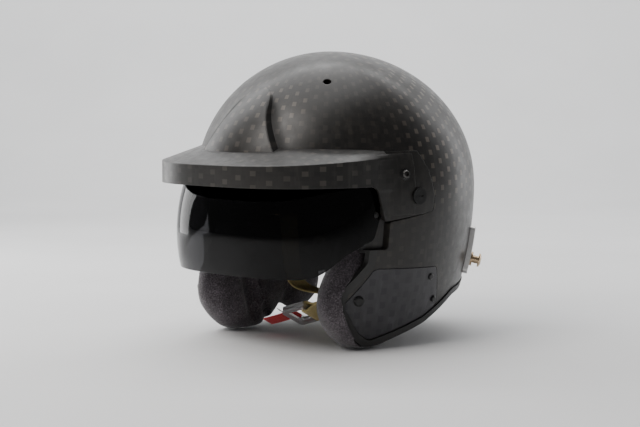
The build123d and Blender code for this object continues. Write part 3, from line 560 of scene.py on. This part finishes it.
def cushion(node, material, voxel, draw_in, proud, pressure, lobe=None):
    """A padded piece blown up by cloth pressure inside the space its CAD solid and lobe hold."""
    name = node + "_cover"
    start = with_lobe(node, *lobe) if lobe else nodes[node].data.copy()
    work = bpy.data.objects.new(name + "_work", start)
    scene.collection.objects.link(work)
    mesh = even_skin(work, voxel)
    tree = tree_of(mesh)
    for vertex, normal in [(v, v.normal.copy()) for v in mesh.vertices]:
        vertex.co -= normal * draw_in
    before = [vertex.co.copy() for vertex in mesh.vertices]
    mesh = blow_up(work, pressure)
    limit = draw_in + proud
    for vertex, origin in zip(mesh.vertices, before):
        move = vertex.co - origin
        if move.length > limit:
            vertex.co = origin + move.normalized() * limit
        spot, normal, _, _ = tree.find_nearest(vertex.co)
        if (vertex.co - spot).dot(normal) > 0:
            vertex.co = spot
        wave = sum(noise.noise(vertex.co * rate) * depth for rate, depth in WRINKLES)
        vertex.co -= vertex.normal * (abs(wave) + (valley(vertex) if lobe else 0.0))
    bpy.data.objects.remove(work)
    piece = new_piece(name, mesh, material, "helmet")
    finer = piece.modifiers.new("finer", "SUBSURF")
    finer.levels = finer.render_levels = 1
    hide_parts(node)


for side, node in ((1, "cheek_pad_left"), (-1, "cheek_pad_right")):
    lobe = ((side * LOBE_SPOT[0], *LOBE_SPOT[1:]), LOBE_RADII)
    cushion(node, KNIT, voxel=0.0032, draw_in=0.0015, proud=0.004, pressure=4.0, lobe=lobe)
cushion("neck_roll", KNIT, voxel=0.004, draw_in=0.0012, proud=0.004, pressure=4.0)
cushion("crown_lining", DARK_KNIT, voxel=0.0035, draw_in=0.0006, proud=0.003, pressure=2.0)


# Patches over the peak's hood and wings
def fair_row(reach, z):
    """One level's Hermite curve from the hood to the wing, as places (y, z, x), or nothing."""
    span = FAIRING_AHEAD + FAIRING_BEHIND
    places = [HOOD_END - FAIRING_AHEAD + span * k / FAIRING_SPANS for k in range(FAIRING_SPANS + 1)]
    found = [reach(y, z) for y in places]
    first = next((k for k, x in enumerate(found) if x), None)
    if first is None or found[-1] is None or places[first] > HOOD_END:
        return None
    y0, y1 = places[first] + FAIRING_INSET, places[-1]
    x0, x1 = reach(y0, z), reach(y1, z)
    leave = (reach(y0 + FAIRING_STEP, z) - x0) / FAIRING_STEP
    arrive = (reach(y1 + FAIRING_STEP, z) - x1) / FAIRING_STEP
    run = y1 - y0
    row = []
    for k in range(FAIRING_SPANS + 1):
        t = k / FAIRING_SPANS
        smooth = (x0 * (1 + 2 * t) * (1 - t) ** 2 + leave * run * t * (1 - t) ** 2
                  + x1 * t * t * (3 - 2 * t) + arrive * run * t * t * (t - 1))
        here = reach(y0 + run * t, z) or smooth
        row.append((y0 + run * t, z, max(smooth, here + FAIRING_LIFT)))
    return row


def fairing(name, side):
    """A fair patch over the line where the peak's hood meets its side wing."""
    tree = tree_of(nodes["peak"].data)

    def reach(y, z):
        spot = tree.ray_cast(Vector((side * BEYOND_PEAK, y, z)), Vector((-side, 0, 0)))[0]
        return abs(spot.x) if spot else None

    rise = FAIRING_TOP - FAIRING_FOOT
    levels = [FAIRING_FOOT + rise * i / (FAIRING_ROWS - 1) for i in range(FAIRING_ROWS)]
    rows = [row for row in (fair_row(reach, z) for z in levels) if row]
    form = bmesh.new()
    layers = []
    for sunk in (0, FAIRING_THICK):
        layers.append([[form.verts.new((side * (x - sunk), y, z)) for y, z, x in row] for row in rows])
    outer, inner = layers
    last = len(rows) - 1
    for i in range(last):
        for k in range(FAIRING_SPANS):
            for layer in layers:
                form.faces.new((layer[i][k], layer[i][k + 1], layer[i + 1][k + 1], layer[i + 1][k]))
    rim = [(0, k) for k in range(FAIRING_SPANS)]
    rim += [(i, FAIRING_SPANS) for i in range(last)]
    rim += [(last, k) for k in range(FAIRING_SPANS, 0, -1)]
    rim += [(i, 0) for i in range(last, 0, -1)]
    for (i, k), (m, n) in zip(rim, rim[1:] + rim[:1]):
        form.faces.new((outer[i][k], outer[m][n], inner[m][n], inner[i][k]))
    mesh = mesh_of(form, name)
    new_piece(name, mesh, PEAK, "helmet")
    mesh.set_sharp_from_angle(angle=FAIRING_CREASE)


fairing("peak_fairing_left", 1)
fairing("peak_fairing_right", -1)


# Tapes, with a quarter of their rounded section mirrored to the whole
EDGE_SHARES = ((1, 0), (0.975, 0.75), (0.91, 1), (0.84, 0.86), (0.45, 0.8), (0, 0.8))
UPPER_SHARES = [(-a, b) for a, b in EDGE_SHARES] + [(a, b) for a, b in EDGE_SHARES[-2::-1]]
TAPE_PROFILE = UPPER_SHARES + [(a, -b) for a, b in UPPER_SHARES[-2:0:-1]]


def at_ring(down, up, along=0):
    """A place near the rings, in metres, from millimetres down the rings and up through the stack."""
    return (BAR + SHIFT + DOWN * down + UP * up + ALONG * along) * MM


def ring_path(spots, base=0.0):
    """Stations along the rings from (down, up) in millimetres, on a base height in the stack."""
    return [(at_ring(down, base + up), ALONG) for down, up in spots]


def at_head(spots, tilts, side=1):
    """Stations in the model's millimetres, on the left or mirrored to the right."""
    path = []
    for (x, y, z), tilt in zip(spots, tilts):
        across = Vector((0, math.cos(math.radians(tilt)), -math.sin(math.radians(tilt))))
        path.append(((Vector((side * x, y, z)) + SHIFT) * MM, across))
    return path


def smooth_line(path, steps=6):
    """Stations on a Catmull-Rom curve through a path's stations."""
    fine = []
    for i in range(len(path) - 1):
        p0, p1 = path[max(0, i - 1)][0], path[i][0]
        p2, p3 = path[i + 1][0], path[min(len(path) - 1, i + 2)][0]
        for k in range(steps):
            t = k / steps
            a = p1 * 2 + (p2 - p0) * t
            b = (p0 * 2 - p1 * 5 + p2 * 4 - p3) * t * t
            c = (p1 * 3 - p0 - p2 * 3 + p3) * t ** 3
            fine.append(((a + b + c) / 2, path[i][1].lerp(path[i + 1][1], t)))
    return fine + [path[-1]]


def ribbon(name, path, size, material, body, node):
    """A flat tape of a width and thickness along smoothed stations of (spot, across), in metres."""
    line = smooth_line(path)
    half, edge = size[0] / 2, size[1] / 2
    form = bmesh.new()
    layer = form.loops.layers.uv.new("UVMap")
    rows, run = [], 0.0
    for i, (spot, across) in enumerate(line):
        ahead = (line[min(len(line) - 1, i + 1)][0] - line[max(0, i - 1)][0]).normalized()
        across = (across - ahead * across.dot(ahead)).normalized()
        out = across.cross(ahead)
        if i:
            run += (spot - line[i - 1][0]).length
        ring = [form.verts.new(spot + across * (half * a) + out * (edge * b)) for a, b in TAPE_PROFILE]
        rows.append((ring, run))
    for (low, start), (high, end) in zip(rows, rows[1:]):
        for k in range(len(TAPE_PROFILE)):
            n = (k + 1) % len(TAPE_PROFILE)
            face = form.faces.new((low[k], low[n], high[n], high[k]))
            for loop, (u, a) in zip(face.loops, ((start, k), (start, n), (end, n), (end, k))):
                loop[layer].uv = (u, TAPE_PROFILE[a][0] * half)
    for ring, _ in (rows[0], rows[-1]):
        form.faces.new(ring)
    piece = new_piece(name, mesh_of(form, name), material, body)
    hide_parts(node)


LEFT = ((117.6, 12, 124), (117.4, 12, 111.5), (115.8, 12, 107.6), (111, 12, 106.5), (91, 8, 106.5),
        (70, 4, 106.5), (62, 2, 105.6), (58.6, 0, 102), (54.5, -8, 88), (50.6, -19, 70), (47, -30, 50),
        (41, -38, 38))
LEFT_TILTS = (0, 0, 0, 0, 0, 0, 0, 0, 4, 8, 12, 16)
EYE = ((-21, 2.9), (-16, 1.35), (-11, 1.0), (-7, 2.0), (-3.4, 4.1), (0, 4.75), (2.0, 3.9), (2.85, 1.9),
       (2.85, 0), (2.85, -1.9), (2.0, -3.9), (0, -4.75), (-3.4, -4.1), (-7, -2.2), (-11, -0.9),
       (-16, -0.55), (-21, 0.9), (-26, 2.4))
RIGHT = ((117.6, 12, 124), (117.4, 12, 111.5), (115.8, 12, 107.6), (111, 12, 106.5), (91, 9, 106.5),
         (70, 6, 106.5), (62, 5, 105.6), (58.6, 4, 102), (54.6, 2, 88), (51.4, 0, 68), (47.5, 0, 50),
         (40, 0, 41), (27, 0, 37.6), (8, 0, 36.6), (-8, 0, 37.2))
FOLD = ((51, 0.45), (46, 0.2), (40, 0.1), (34, 0.25), (28, 0.45), (25.2, 0.9), (23.4, 1.52), (20, 1.64),
        (16.9, 1.45), (16.35, 0), (16.9, -1.45), (20, -1.64), (23.4, -1.52), (25.2, -0.9), (28, -0.4),
        (34, -0.6), (40, -0.75), (46, -0.65), (51, -0.4))
LABEL = ((25.3, 1.5), (27.5, 1.7), (30, 2.5), (32.5, 4.0), (34.5, 5.8), (36, 7.4))

left_path = at_head(LEFT, LEFT_TILTS) + ring_path(EYE)
right_path = at_head(RIGHT, [0] * len(RIGHT), side=-1)
fold_path = ring_path(FOLD, STACK_UP)
label_path = ring_path(LABEL, STACK_UP)
ribbon("strap_left_tape", left_path, STRAP_SIZE, ARAMID, "helmet", "strap_left")
ribbon("strap_right_tape", right_path, STRAP_SIZE, ARAMID, "helmet", "strap_right")
ribbon("pull_tab_tape", fold_path, TAB_SIZE, RED, "upper_ring", "pull_tab")
ribbon("tab_tape_piece", label_path, LABEL_SIZE, WHITE, "upper_ring", "tab_tape")


# Stitches
STITCH_SIDES = 6
STITCH_SHARES = ((0, 0.35), (0.15, 0.9), (0.5, 1.0), (0.85, 0.9), (1, 0.35))
STITCH_ARCH = 0.7
STITCH_SINK = 0.2


def stitch(form, start, end, out, thick):
    """One rounded stitch between two places, sunk a little at its ends."""
    side = (end - start).normalized().cross(out).normalized()
    loops = []
    for share, size in STITCH_SHARES:
        arch = math.sin(math.pi * share) * STITCH_ARCH - STITCH_SINK
        middle = start.lerp(end, share) + out * thick * arch
        loop = []
        for k in range(STITCH_SIDES):
            angle = 2 * math.pi * k / STITCH_SIDES
            turned = side * math.cos(angle) + out * math.sin(angle)
            loop.append(form.verts.new(middle + turned * thick * size))
        loops.append(loop)
    for low, high in zip(loops, loops[1:]):
        for k in range(STITCH_SIDES):
            n = (k + 1) % STITCH_SIDES
            form.faces.new((low[k], low[n], high[n], high[k]))
    form.faces.new(loops[0])
    form.faces.new(loops[-1])


def stitches(name, rows, material, body, length=0.0026, gap=0.0014, thick=0.00028):
    """Runs of small rounded stitches, each row a list of places in metres, arched towards UP."""
    form = bmesh.new()
    for row in rows:
        left = 0.0
        for start, end in zip(row, row[1:]):
            run = end - start
            while left + length <= run.length:
                first = start + run.normalized() * left
                stitch(form, first, first + run.normalized() * length, UP, thick)
                left += length + gap
            left = max(0.0, left - run.length)
    new_piece(name, mesh_of(form, name), material, body)


SEWN_SIDE = 9
SEWN_LINE = ((-19.5, 3.5), (-16, 2.35), (-9, 2.3))
SEWN_ENDS = ((-9, 2.2), (-19.5, 3.4))
SEWN_CROSS = ((-19.5, 3.4), (-9, 2.3))
eye_rows = [[at_ring(down, up, side) for down, up in SEWN_LINE] for side in (-SEWN_SIDE, SEWN_SIDE)]
eye_rows += [[at_ring(down, up, side) for side in (-SEWN_SIDE, SEWN_SIDE)] for down, up in SEWN_ENDS]
for side in (SEWN_SIDE, -SEWN_SIDE):
    eye_rows.append([at_ring(*SEWN_CROSS[0], -side), at_ring(*SEWN_CROSS[1], side)])
stitches("strap_stitches", eye_rows, THREAD, "helmet")

TAB_SEWN_SIDE = 4.6
TAB_SEWN = ((27, 0.9), (35, 0.65), (43, 0.4))
tab_rows = [[at_ring(down, STACK_UP + up, side) for side in (-TAB_SEWN_SIDE, TAB_SEWN_SIDE)]
            for down, up in TAB_SEWN]
stitches("tab_stitches", tab_rows, RED_THREAD, "upper_ring", length=0.0018, gap=0.001,
         thick=0.0002)


# Studio
def placed(across, towards, up):
    """A place in the studio, from metres across the view, towards the camera and up."""
    return ACROSS * across + TOWARDS * towards + Vector((0, 0, up))


def sweep(near=-4.0, turn=1.4, bend=1.3, top=3.2, half=4.5, steps=24):
    """A pale floor that curves up into a wall behind the helmet."""
    line = [(near, 0.0)]
    for i in range(steps + 1):
        angle = math.pi / 2 * i / steps
        line.append((turn + bend * math.sin(angle), bend * (1 - math.cos(angle))))
    line.append((turn + bend, top))
    spots = [tuple(placed(side * half, -away, up)) for away, up in line for side in (-1, 1)]
    faces = [(2 * i, 2 * i + 1, 2 * i + 3, 2 * i + 2) for i in range(len(line) - 1)]
    mesh = bpy.data.meshes.new("floor")
    mesh.from_pydata(spots, [], faces)
    mesh.polygons.foreach_set("use_smooth", [True] * len(mesh.polygons))
    piece = bpy.data.objects.new("floor", mesh)
    scene.collection.objects.link(piece)
    s = Shader("floor_paper", rough=0.75)
    s.set("Base Color", s.ramp(s.noise(3.0), (0.3, (0.74, 0.745, 0.75)), (0.7, (0.79, 0.795, 0.80))))
    s.set("Specular IOR Level", 0.2)
    mesh.materials.append(s.material)


def area_light(name, spot, size, power, target=(0, 0, 0.13), color=(1, 1, 1)):
    """A rectangular light that faces its target."""
    light = bpy.data.lights.new(name, "AREA")
    light.shape = "RECTANGLE"
    light.size, light.size_y = size
    light.energy = power
    light.color = color
    holder = bpy.data.objects.new(name, light)
    holder.location = spot
    holder.rotation_euler = (Vector(target) - spot).to_track_quat("-Z", "Y").to_euler()
    scene.collection.objects.link(holder)


def studio_air():
    """A dim, nearly neutral world round the lights."""
    world = bpy.data.worlds.new("studio")
    world.use_nodes = True
    background = world.node_tree.nodes["Background"]
    background.inputs["Color"].default_value = (0.80, 0.80, 0.82, 1)
    background.inputs["Strength"].default_value = 0.2
    scene.world = world


def photo_camera():
    """The camera at the photograph's viewing angle."""
    back = TOWARDS * math.cos(ELEVATION) + Vector((0, 0, math.sin(ELEVATION)))
    target = ACROSS * TARGET_ACROSS + Vector(TARGET_SPOT)
    camera = bpy.data.objects.new("camera", bpy.data.cameras.new("camera"))
    camera.data.sensor_width = SENSOR_WIDTH
    camera.data.lens = SENSOR_WIDTH * FOCAL_PIXELS / PHOTO_WIDTH_PIXELS
    camera.location = target + back * DISTANCE
    camera.rotation_euler = (-back).to_track_quat("-Z", "Y").to_euler()
    scene.collection.objects.link(camera)
    scene.camera = camera


sweep()
area_light("key", placed(-0.95, 0.70, 1.35), size=(0.9, 0.9), power=19, color=(1.0, 0.96, 0.92))
area_light("top", placed(-0.15, -0.15, 1.45), size=(1.2, 1.2), power=11)
area_light("rim_left", placed(-0.85, -0.55, 0.5), size=(0.5, 1.3), power=8)
area_light("rim_right", placed(1.05, -0.75, 0.5), size=(0.4, 1.3), power=4)
area_light("wall", placed(0.0, -1.5, 2.3), size=(3.5, 0.6), power=75, target=placed(0.0, -2.6, 0.6))
studio_air()
photo_camera()
